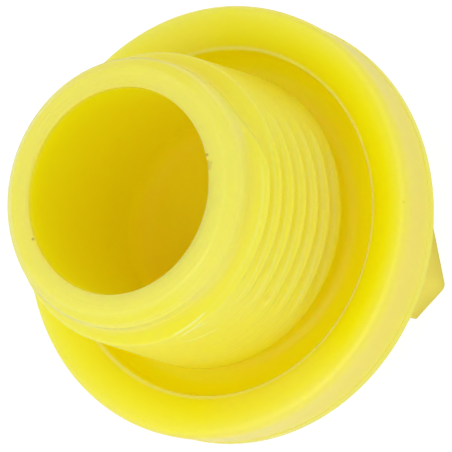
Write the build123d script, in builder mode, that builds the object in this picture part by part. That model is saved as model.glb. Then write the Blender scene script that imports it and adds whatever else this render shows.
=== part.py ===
import os

from build123d import *

# Moulded plastic screw plug for a G 3/8 port, standing on its hexagon head.
# The origin is the centre of the head's end face and +Z runs along the axis to the open mouth.

# Hexagon head with a screwdriver slot across its end face
head_across_flats = 16.9
head_height = 7.0
head_corner_radius = 0.5
slot_width = 4.7
slot_depth = 3.0
slot_draft_angle = 2.0

# Shank. It is plain at the outside diameter of its thread, which is 16.662 mm on a G 3/8 thread.
thread_diameter = 16.662
thread_depth = 0.856
thread_length = 8.4
thread_lead_in = 0.55
neck_length = 1.144
pilot_step = 0.966
pilot_length = 1.42
mouth_bevel_width = 0.565
mouth_bevel_height = 0.5
mouth_bevel_round = 0.15

# Bore of the shank, 11.44 mm across, closed by a floor inside the flange
mouth_ring_width = 1.08
bore_floor_thickness = 6.15
bore_mouth_round = 0.12
bore_floor_round = 0.6

# A groove runs round the foot of the shank. Outside it the flange's face slopes up from a lip to a
# rounded rim. The flange's wall widens slightly from its back edge up to a shoulder below the rim.
groove_width = 2.375
groove_depth = 1.5
groove_wall_draft = 0.2
flange_wall_height = 2.7
flange_wall_draft = 0.105
lip_step = 0.3
rim_face_width = 2.47
rim_face_rise = 0.685
rim_round = 0.42

# Radii, from the thread to the bore and then out to the flange's wall
thread_radius = thread_diameter / 2
thread_core_radius = thread_radius - thread_depth
pilot_radius = thread_radius - pilot_step
mouth_ring_radius = pilot_radius - mouth_bevel_width
bore_radius = mouth_ring_radius - mouth_ring_width
lip_radius = thread_core_radius + groove_width
flange_radius = lip_radius + rim_face_width
flange_back_radius = flange_radius - flange_wall_draft

# Heights, from the head's end face to the mouth
flange_shoulder_height = head_height + flange_wall_height
lip_height = flange_shoulder_height + lip_step
rim_corner_height = lip_height + rim_face_rise
groove_floor_height = lip_height - groove_depth
thread_foot_height = groove_floor_height + neck_length
thread_start_height = thread_foot_height + thread_depth
thread_end_height = thread_start_height + thread_length
pilot_start_height = thread_end_height + thread_lead_in
mouth_height = pilot_start_height + pilot_length
bore_floor_height = slot_depth + bore_floor_thickness

# Half section of everything that is round: each corner's radius and height, and its rounding
section_corners = [
    ((0, head_height), 0),
    ((flange_back_radius, head_height), 0),
    ((flange_radius, flange_shoulder_height), 0),
    ((flange_radius, rim_corner_height), rim_round),
    ((lip_radius, lip_height), 0),
    ((lip_radius - groove_wall_draft, groove_floor_height), 0),
    ((thread_core_radius, groove_floor_height), 0),
    ((thread_core_radius, thread_foot_height), 0),
    ((thread_radius, thread_start_height), 0),
    ((thread_radius, thread_end_height), 0),
    ((pilot_radius, pilot_start_height), 0),
    ((pilot_radius, mouth_height - mouth_bevel_height), mouth_bevel_round),
    ((mouth_ring_radius, mouth_height), 0),
    ((bore_radius, mouth_height), bore_mouth_round),
    ((bore_radius, bore_floor_height), bore_floor_round),
    ((0, bore_floor_height), 0),
]

with BuildPart() as screw_plug:
    # Flange, shank and bore are one section turned about the axis
    with BuildSketch(Plane.XZ) as round_section:
        with BuildLine():
            FilletPolyline(
                [corner for corner, rounding in section_corners],
                radius=[rounding for corner, rounding in section_corners],
                close=True,
            )
        make_face()
    revolve(axis=Axis.Z)

    # Hexagon head, with a pair of its flats square to the X axis
    with BuildSketch(Plane.XY) as hexagon:
        RegularPolygon(radius=head_across_flats / 2, side_count=6, major_radius=False, rotation=30)
        fillet(hexagon.vertices(), radius=head_corner_radius)
    extrude(amount=head_height)

    # Slot across the end face from flat to flat, narrowing with its depth
    with BuildSketch(Plane.XY) as slot_mouth:
        Rectangle(head_across_flats * 2, slot_width)
    extrude(amount=slot_depth, taper=slot_draft_angle, mode=Mode.SUBTRACT)

screw_plug.part.label = "screw_plug"

os.makedirs("parts", exist_ok=True)
export_step(screw_plug.part, "parts/screw_plug.step")
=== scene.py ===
"""A yellow moulded screw plug standing on its slotted hexagon head, seen from above its open mouth."""

import math

import bmesh
import bpy
import numpy as np
from mathutils import Matrix, Vector


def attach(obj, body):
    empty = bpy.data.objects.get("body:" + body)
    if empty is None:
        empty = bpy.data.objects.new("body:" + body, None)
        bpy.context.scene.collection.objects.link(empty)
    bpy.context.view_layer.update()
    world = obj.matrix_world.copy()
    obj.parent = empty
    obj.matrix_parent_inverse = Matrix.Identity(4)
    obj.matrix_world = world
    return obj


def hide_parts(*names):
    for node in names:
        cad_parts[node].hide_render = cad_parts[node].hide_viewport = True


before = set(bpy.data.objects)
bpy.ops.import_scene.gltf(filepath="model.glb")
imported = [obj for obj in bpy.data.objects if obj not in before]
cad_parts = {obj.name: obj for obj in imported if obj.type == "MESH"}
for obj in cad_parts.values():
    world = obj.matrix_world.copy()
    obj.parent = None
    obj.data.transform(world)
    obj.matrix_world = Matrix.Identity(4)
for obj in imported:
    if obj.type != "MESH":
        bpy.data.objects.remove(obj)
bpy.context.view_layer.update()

MM = 0.001
TURN = 2 * math.pi

# Sizes of the plug in millimetres. Heights are above the head's end face.
HEAD_APOTHEM = 8.45
HEAD_HEIGHT = 7.0
HEAD_CORNER_ROUND = 0.5
HEAD_LEAST_ROUND = 0.05
HEAD_EDGE_ROUND = 0.1
HEAD_FILLET = 0.15
SLOT_WIDTH = 4.7
SLOT_DEPTH = 3.0
SLOT_DRAFT = math.radians(2.0)
SLOT_EDGE_ROUND = 0.2
SLOT_FLOOR_ROUND = 0.3

FLANGE_RADIUS = 12.32
FLANGE_BACK_RADIUS = 12.215
FLANGE_SHOULDER_HEIGHT = 9.7
PARTING_STEP = 0.05
PARTING_HEIGHT = 0.55
PARTING_ROUND = 0.02
BACK_EDGE_ROUND = 0.08
RIM_CORNER_HEIGHT = 10.685
RIM_ROUND = 0.42
LIP_RADIUS = 9.85
LIP_HEIGHT = 10.0
LIP_ROUND = 0.15
GROOVE_FLOOR_HEIGHT = 8.5
GROOVE_WALL_DRAFT = 0.2
GROOVE_FLOOR_ROUND = 0.95

CORE_RADIUS = 7.475
PILOT_RADIUS = 7.365
PILOT_FOOT_HEIGHTS = (18.65, 19.1)
MOUTH_HEIGHT = 20.87
MOUTH_RING_RADIUS = 6.8
MOUTH_BEVEL_HEIGHT = 0.5
MOUTH_BEVEL_ROUND = 0.12
BORE_RADIUS = 5.72
BORE_MOUTH_ROUND = 0.12
BORE_FLOOR_HEIGHT = 9.15
BORE_FLOOR_ROUND = 1.2

# Right-hand thread. One crest passes the azimuth CREST_AZIMUTH at CREST_HEIGHT, and the ridge starts and
# ends so many turns below and above that point.
THREAD_PITCH = 1.337
THREAD_DEPTH = 0.856
THREAD_FLANK = math.radians(27.5)
THREAD_ROUND = 0.184
THREAD_ROOT_FILL = 0.3
CREST_HEIGHT = 14.687
CREST_AZIMUTH = math.radians(45)
RIDGE_START_TURNS = -3.2
RIDGE_START_FADE = 0.08
RIDGE_END_TURNS = 3.3
RIDGE_END_FADE = 0.3

# The thread's grooves run out into two plain lands, where the halves of its mould meet. Each has its azimuth,
# the angles off it at which it starts to show and is full, and the height of its top edge's foot. They widen
# a little towards the flange.
LANDS = ((math.radians(-58), math.radians(92), math.radians(56), 19.6),
         (math.radians(122), math.radians(70), math.radians(40), 18.8))
LAND_FOOT_HEIGHT = 9.6
LAND_FLANK = 1.2
LAND_RADIUS = 8.34
LAND_LEVEL = 14.5
LAND_TAPER = 1 / 32

# How finely the surface is divided: steps along a side and round a corner of the hexagon, steps in a quarter
# turn of a rounding up to COARSE_ROUND, phases of the threaded band's rows within a turn, and how many rows
# it climbs. Points that agree to SAME_POINT, in millimetres, become one. Edges over SHARP_ANGLE stay sharp.
SIDE_STEPS = 58
CORNER_STEPS = 6
ARC_STEPS = 5
COARSE_ROUND = 0.4
PHASES = np.array([-0.5, -0.44, -0.378, -0.29, -0.2, -0.122, -0.08, -0.04,
                   0.0, 0.04, 0.08, 0.122, 0.2, 0.29, 0.378, 0.44])
BAND_ROWS = 6 * len(PHASES) + 12
SAME_POINT = 1e-4
SHARP_ANGLE = math.radians(50)

# Camera: angle to the plug's axis, roll in the picture, azimuth over the hexagon, focal length in pixels,
# side of the picture in pixels, pixels for a millimetre at the middle of the flange's lip, where that middle
# lies in pixels from the picture's middle, and the width of the sensor
CAMERA_TILT = math.radians(31.56)
CAMERA_ROLL = math.radians(17.49)
CAMERA_AZIMUTH = math.radians(27.9)
CAMERA_LENGTH_PX = 5000.0
PICTURE_PX = 452.0
PX_PER_MM = 17.8
AXIS_PX = (-9.1, -4.2)
SENSOR_MM = 36.0

# The plastic's colours: clear, paler for cloudiness and painted sheen, painted shade and light, painted
# highlights, and dirt
CLEAR_YELLOW = (0.98, 0.8, 0.0, 1.0)
# Paler yellow for cloudiness, and for painted sheen on open faces
SHEEN_AND_HAZE_YELLOW = (0.965, 0.775, 0.115, 1.0)
# Painted shade on the far side of the shank
SHADE_YELLOW = (0.80, 0.66, 0.03, 1.0)
# Painted shade on the flange's outer wall
SHADED_WALL_YELLOW = (0.78, 0.66, 0.12, 1.0)
# Painted highlights on the lip, the thread's crests and the short glints
HIGHLIGHT_YELLOW = (1.0, 0.9, 0.3, 1.0)
# Painted light: a lighter yellow for the head, which lies in the flange's shade
LIT_HEAD_YELLOW = (1.0, 0.9, 0.15, 1.0)
# Painted light on the mouth's ring and the near side of the shank
PAINTED_LIGHT_YELLOW = (1.0, 0.82, 0.12, 1.0)
DIRT_BROWN = (0.20, 0.12, 0.01, 1.0)
DULL_YELLOW = (0.55, 0.42, 0.02, 1.0)
WHITE = (1.0, 1.0, 1.0, 1.0)

# Where painted light and shade fall: the shaded side and the side of the painted crest highlights, as
# azimuths in degrees, the lip's crest, where a painted highlight runs, how far off the crest's middle the
# thread's painted highlight lines run, in turns, and how close the fine lines that run round the shank lie
SHADED_SIDE = 135
CREST_GLINT_SIDE = 32
LIP_CREST_RADIUS = 9.9
CREST_EDGE_TURNS = 0.2
LINES_PER_MM = 4.5
LINES_PER_RADIAN = 1.2

# Small marks on the plastic: where, how large in millimetres, how strong and in which colour
MARKS = (((8.13, 8.95, 10.45), 0.12, 0.3, DULL_YELLOW),
         ((3.15, 4.75, 20.75), 0.42, 0.55, DIRT_BROWN),
         ((2.73, 5.13, 20.87), 0.15, 0.7, DIRT_BROWN),
         ((-1.61, 8.14, 14.04), 0.13, 0.6, DIRT_BROWN),
         ((-0.12, 8.30, 14.29), 0.10, 0.5, DIRT_BROWN),
         ((-1.92, -5.46, 20.87), 0.12, 0.6, DIRT_BROWN),
         ((8.25, 0.89, 15.09), 0.45, 0.15, DULL_YELLOW))

# Painted glints, short bright highlight lines on the near side: the azimuths in degrees between which each
# runs, and the heights at its two ends
GLINTS = ((-27.4, -7.6, 18.57, 18.77),
          (-25.4, -12.0, 18.09, 18.48),
          (-22.9, -11.9, 18.37, 18.05),
          (-28.1, -12.6, 17.07, 16.44))

# To the camera the floor is partly a plain white glow, which leaves a light shadow. It lies just below the
# plug, by a gap in millimetres, and reaches so many metres to each side.
FLOOR_GLOW = 1.16
FLOOR_SHARE = 0.78
FLOOR_GAP = 0.01
FLOOR_REACH = 0.4

# Light: the surround's strength when level and what it gains straight up, and a lamp with its place, size
# and power in metres and watts, turned to a point above the floor
SURROUND = 0.74
SURROUND_GAIN = 0.12
LAMP_SPOT = (0.17, -0.08, 0.33)
LAMP_SIZE = 0.22
LAMP_POWER = 0.24
LAMP_TARGET = (0.0, 0.0, 0.01)


def arc_between(corner, before, after, radius):
    """Points of the arc that rounds a corner.

    With a and b the unit directions from the corner to its neighbours, and h half the angle between them, the
    centre is radius / sin(h) from the corner along a + b, and the arc runs between the feet of its two radii.
    """
    corner, before, after = (np.asarray(p, float) for p in (corner, before, after))
    a = (before - corner) / np.linalg.norm(before - corner)
    b = (after - corner) / np.linalg.norm(after - corner)
    half = math.acos(a @ b) / 2
    centre = corner + (a + b) / np.linalg.norm(a + b) * radius / math.sin(half)
    first = corner + a * radius / math.tan(half) - centre
    last = corner + b * radius / math.tan(half) - centre
    sweep = math.atan2(first[0] * last[1] - first[1] * last[0], first @ last)
    finer = max(1.0, math.sqrt(radius / COARSE_ROUND))
    steps = max(2, round(ARC_STEPS * abs(sweep) / (math.pi / 2) * finer)) + 1
    t = math.atan2(first[1], first[0]) + sweep * np.linspace(0, 1, steps)
    return centre + radius * np.stack([np.cos(t), np.sin(t)], axis=1)


def rounded_line(corners):
    """A line through corners given as (x, y, rounding), each inner corner with a rounding made an arc."""
    points = [np.array([corners[0][:2]], float)]
    for before, here, after in zip(corners, corners[1:], corners[2:]):
        if here[2] > 0:
            points.append(arc_between(here[:2], before[:2], after[:2], here[2]))
        else:
            points.append(np.array([here[:2]], float))
    points.append(np.array([corners[-1][:2]], float))
    return np.concatenate(points)


def azimuths():
    """Azimuths round the plug: even steps along each side of the hexagon, fine ones round each corner."""
    inner = HEAD_APOTHEM - HEAD_CORNER_ROUND
    side = math.atan(inner * math.tan(TURN / 12) / HEAD_APOTHEM)
    flat = np.linspace(-side, side, SIDE_STEPS, endpoint=False)
    corner = np.linspace(side, TURN / 6 - side, CORNER_STEPS, endpoint=False)
    sector = np.concatenate([flat, corner])
    angles = (sector[None, :] + np.arange(6)[:, None] * TURN / 6).ravel()
    return np.sort(angles % TURN)


def hexagon_radius(angle, apothem, rounding):
    """Radius of a rounded hexagon at an azimuth.

    Off a flat's normal by f it is apothem / cos(f). Near a corner it is c cos(d) + sqrt(q^2 - c^2 sin(d)^2),
    with d the angle to the corner, q the rounding and c = (apothem - q) / cos(30 degrees).
    """
    off = np.abs((angle + TURN / 12) % (TURN / 6) - TURN / 12)
    centre = (apothem - rounding) / math.cos(TURN / 12)
    to_corner = TURN / 12 - off
    inside = np.maximum(rounding ** 2 - (centre * np.sin(to_corner)) ** 2, 0)
    corner = centre * np.cos(to_corner) + np.sqrt(inside)
    flat_end = np.arctan((apothem - rounding) * math.tan(TURN / 12) / apothem)
    return np.where(off <= flat_end, apothem / np.cos(off), corner)


def thread_ridge(height, angle):
    """Height of the thread above its root.

    The ridge's phase is (height - crest height) / pitch - azimuth / turn, less the nearest whole number.
    Its section is an arc over the crest, a straight flank and an arc in the root. It fades in and out at its
    ends. The fill of the root is the least height between the levels of the ridge's two ends.
    """
    turns = (height - CREST_HEIGHT) / THREAD_PITCH
    ahead = (angle - CREST_AZIMUTH) / TURN
    whole = np.round(turns - ahead)
    away = np.abs(turns - ahead - whole) * THREAD_PITCH
    reach = THREAD_ROUND * math.cos(THREAD_FLANK)
    crest = THREAD_DEPTH - THREAD_ROUND + np.sqrt(np.maximum(THREAD_ROUND ** 2 - away ** 2, 0))
    drop = THREAD_ROUND * (1 - math.sin(THREAD_FLANK))
    flank = THREAD_DEPTH - drop - (away - reach) / math.tan(THREAD_FLANK)
    to_root = THREAD_PITCH / 2 - away
    root = THREAD_ROUND - np.sqrt(np.maximum(THREAD_ROUND ** 2 - to_root ** 2, 0))
    ridge = np.where(away < reach, crest, np.where(to_root < reach, root, flank))
    along = whole + ahead
    fade_in = np.clip((along - RIDGE_START_TURNS) / RIDGE_START_FADE, 0, 1)
    fade_out = np.clip((RIDGE_END_TURNS - along) / RIDGE_END_FADE, 0, 1)
    above_start = np.clip((turns - RIDGE_START_TURNS) / RIDGE_END_FADE, 0, 1)
    below_end = np.clip((RIDGE_END_TURNS - turns) / RIDGE_END_FADE, 0, 1)
    fill = THREAD_ROOT_FILL * smooth(above_start) * smooth(below_end)
    return np.maximum(ridge * smooth(fade_in) * smooth(fade_out), fill)


def smooth(t):
    """The curve 3 t^2 - 2 t^3, which starts and ends level."""
    return t * t * (3 - 2 * t)


def land_share(angle, azimuth, start, full):
    """1 on a plain land and 0 off it, with a soft change between the angles start and full off its middle."""
    off = np.abs((angle - azimuth + TURN / 2) % TURN - TURN / 2)
    return smooth(np.clip((start - off) / (start - full), 0, 1))


def land_rise(height, top):
    """Height of a land above the thread's root: its tapering face between two flanks."""
    face = LAND_RADIUS - (height - LAND_LEVEL) * LAND_TAPER - CORE_RADIUS
    within = np.minimum(height - LAND_FOOT_HEIGHT, top - height) / LAND_FLANK
    return face * smooth(np.clip(within, 0, 1))


def shank_radius(height, angle):
    """Radius of the shank's outside: thread and lands over the core, or the collar where that is wider."""
    low, high = PILOT_FOOT_HEIGHTS
    up = smooth(np.clip((height - low) / (high - low), 0, 1))
    collar = CORE_RADIUS + (PILOT_RADIUS - CORE_RADIUS) * up
    raised = thread_ridge(height, angle)
    for azimuth, start, full, top in LANDS:
        share = land_share(angle, azimuth, start, full)
        raised = raised * (1 - share) + land_rise(height, top) * share
    return np.maximum(collar, CORE_RADIUS + raised)


def head_rows(angles):
    """Rows round the hexagon head, from within its end face out, round the edge and up to the flange's back.

    Each row is the rounded hexagon drawn in by an offset, at a height.
    """
    line = rounded_line([
        (HEAD_APOTHEM * 0.55, 0.0, 0),
        (0.0, 0.0, HEAD_EDGE_ROUND),
        (0.0, HEAD_HEIGHT, HEAD_FILLET),
        (-HEAD_FILLET * 2, HEAD_HEIGHT, 0),
    ])
    offset = line[:, :1]
    rounding = np.maximum(HEAD_CORNER_ROUND - offset, HEAD_LEAST_ROUND)
    radius = hexagon_radius(angles[None, :], HEAD_APOTHEM - offset, rounding)
    return radius, np.broadcast_to(line[:, 1:], radius.shape)


def flange_rows(angles):
    """Rows round the flange, from its back face over the rim and down into the groove to the shank's neck."""
    wall = FLANGE_BACK_RADIUS - PARTING_STEP
    line = rounded_line([
        (HEAD_APOTHEM * 1.25, HEAD_HEIGHT, 0),
        (FLANGE_BACK_RADIUS, HEAD_HEIGHT, BACK_EDGE_ROUND),
        (FLANGE_BACK_RADIUS, HEAD_HEIGHT + PARTING_HEIGHT, PARTING_ROUND),
        (wall, HEAD_HEIGHT + PARTING_HEIGHT + PARTING_STEP, PARTING_ROUND),
        (FLANGE_RADIUS, FLANGE_SHOULDER_HEIGHT, 0),
        (FLANGE_RADIUS, RIM_CORNER_HEIGHT, RIM_ROUND),
        (LIP_RADIUS, LIP_HEIGHT, LIP_ROUND),
        (LIP_RADIUS - GROOVE_WALL_DRAFT, GROOVE_FLOOR_HEIGHT, GROOVE_FLOOR_ROUND),
        (CORE_RADIUS, GROOVE_FLOOR_HEIGHT, GROOVE_FLOOR_ROUND),
        (CORE_RADIUS, band_height(0, 0), 0),
    ])
    return full_rows(line[:-1], angles)


def mouth_rows(angles):
    """Rows from the pilot collar over the mouth's bevel and ring, down the bore and across its floor."""
    line = rounded_line([
        (PILOT_RADIUS, band_top(), 0),
        (PILOT_RADIUS, MOUTH_HEIGHT - MOUTH_BEVEL_HEIGHT, MOUTH_BEVEL_ROUND),
        (MOUTH_RING_RADIUS, MOUTH_HEIGHT, MOUTH_BEVEL_ROUND),
        (BORE_RADIUS, MOUTH_HEIGHT, BORE_MOUTH_ROUND),
        (BORE_RADIUS, BORE_FLOOR_HEIGHT, BORE_FLOOR_ROUND),
        (BORE_RADIUS * 0.5, BORE_FLOOR_HEIGHT, 0),
    ])
    return full_rows(line[1:], angles)


def full_rows(line, angles):
    """Rows of a turned surface: each point of the line, as radius and height, carried round the axis."""
    shape = (len(line), len(angles))
    return np.broadcast_to(line[:, :1], shape), np.broadcast_to(line[:, 1:], shape)


def band_phase(row):
    """Turns above the band's foot of a row: whole turns, and the row's own phase within its turn."""
    return row // len(PHASES) + PHASES[row % len(PHASES)] + 0.5


def band_height(row, angle):
    """Height of the threaded band's row, which climbs one pitch in a turn, in step with the thread."""
    foot_turns = math.floor(RIDGE_START_TURNS)
    foot = CREST_HEIGHT + THREAD_PITCH * (foot_turns + 0.5 - CREST_AZIMUTH / TURN)
    return foot + THREAD_PITCH * (band_phase(row) + angle / TURN)


def band_top():
    """Height of the level ring above the threaded band."""
    return band_height(BAND_ROWS, TURN)


def at_turns(radius, height, angles):
    """Points of rows given by radius, height and azimuth: (radius cos, radius sin, height)."""
    return np.stack([radius * np.cos(angles), radius * np.sin(angles), height + 0 * radius], axis=-1)


def band_rows(angles):
    """The threaded band and the two wedges that join it to level rings.

    Band row j has the height foot + pitch (phase of j + azimuth / turn), so its end meets the start of the
    row one pitch further up. In the lower wedge row m climbs phase of m times pitch in a turn from one point
    of the level ring, and in the upper one the rows close in on one point in the same way.
    """
    around = np.append(angles, TURN)
    pitch_rows = len(PHASES)
    share = around / TURN
    band = np.stack([band_height(row, around) for row in range(BAND_ROWS + 1)])
    foot = band_height(0, 0)
    lower = np.stack([foot + (band_height(m, 0) - foot) * share for m in range(pitch_rows + 1)])
    top = band_top()
    falls = [top - band_height(BAND_ROWS + m, 0) for m in range(pitch_rows + 1)]
    upper = np.stack([top - fall * (1 - share) for fall in falls])
    return [(shank_radius(height, around), height, around) for height in (lower, band, upper)]


def grid_faces(rows, columns):
    """Corner numbers of the four-sided faces of a grid of points with that many rows and columns."""
    corner = (np.arange(rows - 1)[:, None] * columns + np.arange(columns - 1)[None, :]).ravel()
    return np.stack([corner, corner + 1, corner + columns + 1, corner + columns], axis=1)


def mesh_of_grids(name, grids):
    """One closed mesh from grids of points in millimetres, joined where their points meet."""
    points, faces, count = [], [], 0
    for grid in grids:
        rows, columns = grid.shape[:2]
        points.append(grid.reshape(-1, 3))
        faces.append(grid_faces(rows, columns) + count)
        count += rows * columns
    points = np.concatenate(points) * MM
    keys = np.round(points / (MM * SAME_POINT)).astype(np.int64)
    _, first, joined = np.unique(keys, axis=0, return_index=True, return_inverse=True)
    faces = joined.ravel()[np.concatenate(faces)]
    return mesh_of_faces(name, points[first], faces)


def mesh_of_faces(name, points, faces):
    """A mesh from points and four-sided faces. A face with two corners in one point becomes a triangle."""
    following = np.roll(faces, -1, axis=1)
    distinct = faces != following
    sides = distinct.sum(axis=1)
    loops, starts, totals, at = [], [], [], 0
    for side_count in (3, 4):
        chosen = faces[sides == side_count][distinct[sides == side_count]].reshape(-1, side_count)
        loops.append(chosen.ravel())
        starts.append(at + np.arange(len(chosen)) * side_count)
        totals.append(np.full(len(chosen), side_count))
        at += chosen.size
    mesh = bpy.data.meshes.new(name)
    mesh.vertices.add(len(points))
    mesh.vertices.foreach_set("co", points.astype(np.float32).ravel())
    loops, starts, totals = (np.concatenate(a).astype(np.int32) for a in (loops, starts, totals))
    mesh.loops.add(len(loops))
    mesh.loops.foreach_set("vertex_index", loops)
    mesh.polygons.add(len(starts))
    mesh.polygons.foreach_set("loop_start", starts)
    mesh.polygons.foreach_set("loop_total", totals)
    mesh.update(calc_edges=True)
    mesh.validate()
    return mesh


def plug_grids():
    """All grids of the plug's surface, from the middle of the end face round to the middle of the bore."""
    angles = azimuths()
    around = np.append(angles, TURN)
    wrap = np.append(np.arange(len(angles)), 0)
    head = np.stack(head_rows(angles))
    flange = np.stack(flange_rows(angles))
    mouth = np.stack(mouth_rows(angles))
    lower, band, upper = band_rows(angles)

    to_axis = np.array([0.0, 1.0])[:, None, None]
    below = np.concatenate([head[:, :1] * to_axis, head, flange], axis=1)[:, :, wrap]
    above = np.concatenate([mouth, mouth[:, -1:] * to_axis], axis=1)[:, :, wrap]
    below = np.concatenate([below, np.stack(lower[:2])[:, :1]], axis=1)
    above = np.concatenate([np.stack(upper[:2])[:, -1:], above], axis=1)
    level = [at_turns(*rows, around) for rows in (below, above)]
    return level + [at_turns(*part) for part in (lower, band, upper)]


def slot_cutter():
    """The slot's space: its section, with flared mouth edges and rounded floor corners, carried along X."""
    outside = 1.5
    half = SLOT_WIDTH / 2
    lean = SLOT_DEPTH * math.tan(SLOT_DRAFT)
    beside = half + SLOT_EDGE_ROUND * 3
    just_below = -SLOT_EDGE_ROUND * 0.02
    side = rounded_line([
        (beside, -outside, 0),
        (beside, just_below, 0),
        (half, 0.0, SLOT_EDGE_ROUND),
        (half - lean, SLOT_DEPTH, SLOT_FLOOR_ROUND),
        (0.0, SLOT_DEPTH, 0),
    ])
    ring = np.concatenate([side, side[-2::-1] * [-1, 1]])
    ring = np.concatenate([ring, ring[:1]])
    middle = np.array([0.0, -outside / 2])
    reach = HEAD_APOTHEM * 1.5
    along = np.array([-reach, -reach, reach, reach])[:, None, None]
    size = np.array([0.0, 1.0, 1.0, 0.0])[:, None, None]
    section = middle + (ring - middle) * size
    along = np.broadcast_to(along, section.shape[:2] + (1,))
    return mesh_of_grids("slot_space", [np.concatenate([along, section], axis=2)])


def link(name, mesh):
    """A new object of a mesh, at the origin and in the scene."""
    piece = bpy.data.objects.new(name, mesh)
    bpy.context.scene.collection.objects.link(piece)
    return piece


def outward(mesh):
    """Turns all faces outwards."""
    work = bmesh.new()
    work.from_mesh(mesh)
    bmesh.ops.recalc_face_normals(work, faces=work.faces)
    work.to_mesh(mesh)
    work.free()


def finished_mesh(piece):
    """The mesh that a piece's modifiers give it, in place of its own mesh and modifiers."""
    graph = bpy.context.evaluated_depsgraph_get()
    mesh = bpy.data.meshes.new_from_object(piece.evaluated_get(graph), depsgraph=graph)
    piece.modifiers.clear()
    piece.data = mesh


def make_plug():
    """The plug as one closed mesh, with the slot cut out of its head."""
    plug = link("moulded_plug", mesh_of_grids("moulded_plug", plug_grids()))
    cutter = link("slot_space", slot_cutter())
    outward(plug.data)
    outward(cutter.data)
    cut = plug.modifiers.new("slot", "BOOLEAN")
    cut.operation = "DIFFERENCE"
    cut.solver = "EXACT"
    cut.object = cutter
    finished_mesh(plug)
    bpy.data.objects.remove(cutter)
    plug.data.shade_smooth()
    plug.data.set_sharp_from_angle(angle=SHARP_ANGLE)
    weigh = plug.modifiers.new("even_flats", "WEIGHTED_NORMAL")
    weigh.keep_sharp = True
    weigh.weight = 60
    finished_mesh(plug)
    return plug


class Value:
    """A node's output, with the operators that add Math nodes."""

    def __init__(self, tree, socket):
        self.tree = tree
        self.socket = socket

    def math(self, operation, *others):
        """The result of a Math node on this value and others, which may be numbers."""
        operands = dict(enumerate((self,) + others))
        return node(self.tree, "ShaderNodeMath", {"operation": operation}, operands)("Value")

    def __add__(self, other):
        return self.math("ADD", other)

    def __radd__(self, other):
        return self.math("ADD", other)

    def __mul__(self, other):
        return self.math("MULTIPLY", other)

    def __rmul__(self, other):
        return self.math("MULTIPLY", other)

    def __sub__(self, other):
        return self.math("SUBTRACT", other)

    def __rsub__(self, other):
        return (self * -1).math("ADD", other)

    def __truediv__(self, other):
        return self.math("DIVIDE", other)

    def __pow__(self, other):
        return self.math("POWER", other)

    def __abs__(self):
        return self.math("ABSOLUTE")

    def ramp(self, low, high):
        """0 below low, 1 above high and a smooth rise between, or a fall where high is the lower."""
        made = node(self.tree, "ShaderNodeMapRange", {"interpolation_type": "SMOOTHSTEP"},
                    {"Value": self, "From Min": low, "From Max": high})
        return made("Result")


def node(tree, kind, settings=None, inputs=None):
    """Adds a node with its settings and inputs, and returns a function that gives its outputs as values."""
    made = tree.nodes.new(kind)
    for name, setting in (settings or {}).items():
        setattr(made, name, setting)
    for name, given in (inputs or {}).items():
        if isinstance(given, Value):
            tree.links.new(given.socket, made.inputs[name])
        else:
            made.inputs[name].default_value = given
    return lambda name: Value(tree, made.outputs[name])


def noise(tree, vector, scale, detail):
    """Cloudy values between 0 and 1 around 0.5, with so many clouds to a unit of the vector."""
    settings = {"Vector": vector, "Scale": float(scale), "Detail": float(detail)}
    return node(tree, "ShaderNodeTexNoise", None, settings)("Fac")


def blend(tree, share, first, second):
    """A colour between two others."""
    return node(tree, "ShaderNodeMix", {"data_type": "RGBA"}, {0: share, 6: first, 7: second})(2)


def empty_tree(owner):
    """The cleared node tree of a material or a world."""
    owner.use_nodes = True
    owner.node_tree.nodes.clear()
    return owner.node_tree


class Place:
    """Where a point of the plug lies: its coordinates in metres as a vector, the others in millimetres."""

    def __init__(self, tree):
        self.vector = node(tree, "ShaderNodeTexCoord")("Object")
        parts = node(tree, "ShaderNodeSeparateXYZ", None, {"Vector": self.vector})
        self.x, self.y, self.height = (parts(name) / MM for name in ("X", "Y", "Z"))
        self.radius = (self.x * self.x + self.y * self.y) ** 0.5
        self.azimuth = self.y.math("ARCTAN2", self.x)

    def facing(self, degrees):
        """Cosine of the angle between the point's azimuth and another one."""
        angle = math.radians(degrees)
        return (self.x * math.cos(angle) + self.y * math.sin(angle)) / self.radius


def shank_share(place):
    """1 on the shank's outside and on the mouth's ring, 0 in the bore and the groove and on the flange."""
    outside = place.radius.ramp(5.8, 6.1).math("MAXIMUM", place.height.ramp(20.3, 20.75))
    return outside * place.radius.ramp(9.0, 8.7) * place.height.ramp(10.5, 11.2)


def shaded_side_share(place):
    """1 on the shaded side of the plug, about its azimuth, and 0 well away from it."""
    return place.facing(SHADED_SIDE).ramp(0.6, 0.95)


def sheen_and_haze_share(place, shank, collar, cloud, lines):
    """How pale the plastic is: partly its cloudiness and turned lines, partly painted sheen, which paints
    open faces paler as if they reflected the pale surroundings, less on the shaded side, while hollows keep
    the clear deep yellow.
    """
    radius, height = place.radius, place.height
    flat_sides = abs(place.facing(-45)).ramp(0.7, 0.95) * radius.ramp(6.7, 7.0)
    on_collar = collar * (1.0 - flat_sides * 0.45)
    crest = radius.ramp(8.05, 8.3)
    on_thread = (1 - collar) * height.ramp(10.0, 13.0) * (crest * 0.22 + 0.25)
    on_thread = on_thread * (1 - shaded_side_share(place) * 0.6)
    on_flange = radius.ramp(10.6, 12.3) ** 2 * height.ramp(6.0, 7.5) * 0.85
    across = abs(place.facing(-20)).ramp(0.88, 1.0) * radius.ramp(9.9, 10.2) * 0.35
    sheen_and_haze = shank * (on_collar + on_thread) + on_flange + across
    return sheen_and_haze * (cloud * 0.7 + 0.65) + shank * collar * (lines - 0.5) * 1.2


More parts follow.
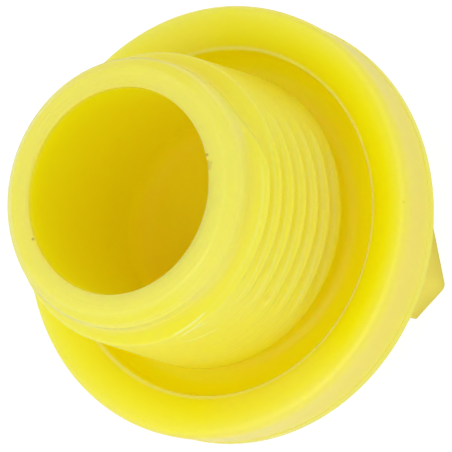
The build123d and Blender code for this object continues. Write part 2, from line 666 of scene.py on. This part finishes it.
def crest_highlight_lines(place):
    """Painted highlights: thin bright lines along both edges of the thread's crest, on one side of the shank,
    as shares.
    """
    turns = (place.height - CREST_HEIGHT) / THREAD_PITCH - (place.azimuth - CREST_AZIMUTH) / TURN
    line = abs(turns.math("PINGPONG", 0.5) - CREST_EDGE_TURNS).ramp(0.05, 0.015)
    return line * place.radius.ramp(7.9, 8.1) * place.facing(CREST_GLINT_SIDE).ramp(0.7, 0.95)


def painted_light_and_shade(tree, place, shank, collar, colour):
    """The plastic's colour with painted light and shade: painted shade on the far side and on the flange's
    outer wall, painted light on the near side and the mouth's ring, and painted highlights on the lip and the
    thread's crests.
    """
    radius, height = place.radius, place.height
    # Painted shade on the far side of the shank
    colour = blend(tree, shank * shaded_side_share(place) * radius.ramp(6.7, 7.0) * 0.45, colour, SHADE_YELLOW)
    # Painted light on the mouth's ring towards one side and on the near side of the shank
    ring = place.facing(-10).ramp(0.0, 0.7) * height.ramp(20.6, 20.85) * 0.7
    near = place.facing(40).ramp(0.4, 0.9) * 0.4
    colour = blend(tree, shank * ring.math("MAXIMUM", near), colour, PAINTED_LIGHT_YELLOW)
    # Painted highlight along the lip's crest
    lip_highlight = abs(radius - LIP_CREST_RADIUS).ramp(0.22, 0.05) * height.ramp(9.8, 9.95)
    # Painted highlights along the thread's crests
    crest_highlights = crest_highlight_lines(place) * shank * (1 - collar)
    colour = blend(tree, lip_highlight * 0.55 + crest_highlights * 0.4, colour, HIGHLIGHT_YELLOW)
    # Painted shade on the flange's outer wall
    wall = radius.ramp(12.0, 12.25) * height.ramp(6.8, 7.1)
    return blend(tree, wall * 0.55, colour, SHADED_WALL_YELLOW)


def marks_and_glints(tree, place, shank, colour):
    """The plastic's colour with its small specks and marks, and with painted glints, short bright highlight
    lines.
    """
    for spot, size, share, tint in MARKS:
        apart = node(tree, "ShaderNodeVectorMath", {"operation": "DISTANCE"},
                     {0: place.vector, 1: tuple(part * MM for part in spot)})
        edge = apart("Value") / MM + (noise(tree, place.vector, 3500, 2) - 0.5) * size
        colour = blend(tree, edge.ramp(size, size * 0.3) * share, colour, tint)
    degrees = place.azimuth * (360 / TURN)
    # Painted glints: short bright highlight lines
    for start, end, first, last in GLINTS:
        along = (degrees - start) / (end - start)
        level = along * (last - first) + first
        line = abs(place.height - level).ramp(0.09, 0.03) * along.ramp(0.0, 0.2) * along.ramp(1.0, 0.8)
        colour = blend(tree, line * shank * 0.75, colour, HIGHLIGHT_YELLOW)
    return colour


def make_yellow():
    """Yellow polyethylene: translucent, softly glossy, a little cloudy, with the marks of its mould, and with
    painted sheen, light, shade and highlights in its colour.
    """
    material = bpy.data.materials.new("yellow_polyethylene")
    tree = empty_tree(material)
    place = Place(tree)
    shank = shank_share(place)
    collar = place.height.ramp(19.0, 19.5)
    cloud = noise(tree, place.vector, 320, 3)
    turned = node(tree, "ShaderNodeCombineXYZ", None, {
        "X": place.radius * LINES_PER_MM,
        "Y": place.azimuth * LINES_PER_RADIAN,
        "Z": place.height * LINES_PER_MM,
    })
    lines = noise(tree, turned("Vector"), 1.0, 3)
    # Paler where the plastic is cloudy, and painted sheen: open faces painted paler as if they reflected the
    # pale surroundings
    sheen_and_haze = sheen_and_haze_share(place, shank, collar, cloud, lines)
    colour = blend(tree, sheen_and_haze, CLEAR_YELLOW, SHEEN_AND_HAZE_YELLOW)
    # Painted light and shade on its sides, and painted highlights on the lip and crests
    colour = painted_light_and_shade(tree, place, shank, collar, colour)
    # Specks and marks, and painted glints
    colour = marks_and_glints(tree, place, shank, colour)

    # Relief in millimetres
    wave = noise(tree, place.vector, 260, 2) * 0.06
    grain = noise(tree, place.vector, 2600, 3)
    ribs = noise(tree, place.vector, 700, 2) * 0.03
    relief = wave + grain * 0.004 + shank * (lines * (0.03 + collar * 0.03) + ribs)
    bump = node(tree, "ShaderNodeBump", None, {"Strength": 1.0, "Distance": MM, "Height": relief})

    # The head is mostly a second plastic without subsurface, so no light passes through it, in a lighter
    # yellow: painted light that lifts the head out of the flange's shade
    inside = place.radius.ramp(6.1, 5.8) * place.height.ramp(20.9, 19.5)
    face = place.radius.ramp(10.5, 11.0)
    plastic = {"IOR": 1.5, "Specular IOR Level": 0.22, "Normal": bump("Normal")}
    clear = node(tree, "ShaderNodeBsdfPrincipled", None, {
        "Base Color": colour,
        "Roughness": 0.32 + inside * 0.3 + grain * 0.1,
        "Coat Weight": shank * (0.25 + collar * 0.35) + face * 0.25,
        "Coat Roughness": 0.16,
        "Subsurface Weight": 1.0,
        "Subsurface Radius": (1.0, 0.75, 0.05),
        "Subsurface Scale": 0.007,
        **plastic,
    })
    lit_head = node(tree, "ShaderNodeBsdfPrincipled", None, {
        "Base Color": blend(tree, cloud, LIT_HEAD_YELLOW, SHEEN_AND_HAZE_YELLOW),
        "Roughness": 0.34 + grain * 0.1,
        **plastic,
    })
    head = place.height.ramp(7.05, 6.95) * 0.85
    surface = node(tree, "ShaderNodeMixShader", None, {0: head, 1: clear("BSDF"), 2: lit_head("BSDF")})
    node(tree, "ShaderNodeOutputMaterial", None, {"Surface": surface("Shader")})
    return material


def make_camera():
    """The camera that gave the photograph its circles, square to a picture of 452 pixels a side."""
    tilt, roll, azimuth = CAMERA_TILT, CAMERA_ROLL, CAMERA_AZIMUTH
    out = np.array([math.cos(azimuth), math.sin(azimuth), 0.0])
    up = np.array([0.0, 0.0, 1.0])
    towards = math.sin(tilt) * out + math.cos(tilt) * up
    near = math.cos(tilt) * out - math.sin(tilt) * up
    side = np.array([math.sin(azimuth), -math.cos(azimuth), 0.0])
    right = math.cos(roll) * near - math.sin(roll) * side
    down = math.sin(roll) * near + math.cos(roll) * side
    aside = AXIS_PX[0] * right + AXIS_PX[1] * down
    spot = LIP_HEIGHT * up + (CAMERA_LENGTH_PX * towards - aside) / PX_PER_MM
    data = bpy.data.cameras.new("camera")
    data.sensor_width = SENSOR_MM
    data.lens = SENSOR_MM * CAMERA_LENGTH_PX / PICTURE_PX
    data.clip_end = 10.0
    camera = bpy.data.objects.new("camera", data)
    turn = Matrix((right, -down, towards)).transposed().to_4x4()
    camera.matrix_world = Matrix.Translation(Vector(spot * MM)) @ turn
    bpy.context.scene.collection.objects.link(camera)
    bpy.context.scene.camera = camera


def make_floor():
    """A plain pale floor that looks white to the camera and keeps the plug's shadow."""
    corners = np.array([[-1, -1], [1, -1], [1, 1], [-1, 1]]) * FLOOR_REACH
    corners = np.column_stack([corners, np.full(4, -FLOOR_GAP * MM)])
    mesh = bpy.data.meshes.new("floor")
    mesh.from_pydata(corners.tolist(), [], [(0, 1, 2, 3)])
    floor = link("floor", mesh)
    material = bpy.data.materials.new("floor_paper")
    tree = empty_tree(material)
    paper = node(tree, "ShaderNodeBsdfPrincipled", None,
                 {"Base Color": (0.95, 0.95, 0.95, 1.0), "Roughness": 0.8, "Specular IOR Level": 0.2})
    white = node(tree, "ShaderNodeEmission", None, {"Color": WHITE, "Strength": FLOOR_GLOW})
    seen = node(tree, "ShaderNodeLightPath")("Is Camera Ray") * FLOOR_SHARE
    mixed = node(tree, "ShaderNodeMixShader", None, {0: seen, 1: paper("BSDF"), 2: white("Emission")})
    node(tree, "ShaderNodeOutputMaterial", None, {"Surface": mixed("Shader")})
    mesh.materials.append(material)


def make_surround():
    """An even pale surround, a little brighter above."""
    world = bpy.data.worlds.new("studio")
    bpy.context.scene.world = world
    tree = empty_tree(world)
    way = node(tree, "ShaderNodeTexCoord")("Generated")
    up = node(tree, "ShaderNodeSeparateXYZ", None, {"Vector": way})("Z").math("MAXIMUM", 0.0)
    glow = node(tree, "ShaderNodeBackground", None,
                {"Color": WHITE, "Strength": up * SURROUND_GAIN + SURROUND})
    node(tree, "ShaderNodeOutputWorld", None, {"Surface": glow("Background")})


def make_lamp():
    """A large soft square lamp that faces the plug."""
    data = bpy.data.lights.new("soft_lamp", "AREA")
    data.size = LAMP_SIZE
    data.energy = LAMP_POWER
    lamp = bpy.data.objects.new("soft_lamp", data)
    lamp.location = Vector(LAMP_SPOT)
    lamp.rotation_euler = (Vector(LAMP_TARGET) - Vector(LAMP_SPOT)).to_track_quat("-Z", "Y").to_euler()
    bpy.context.scene.collection.objects.link(lamp)


plug = make_plug()
plug.data.materials.clear()
plug.data.materials.append(make_yellow())
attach(plug, "root")
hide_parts("screw_plug")

make_camera()
make_floor()
make_surround()
make_lamp()
bpy.context.scene.view_settings.view_transform = "Standard"
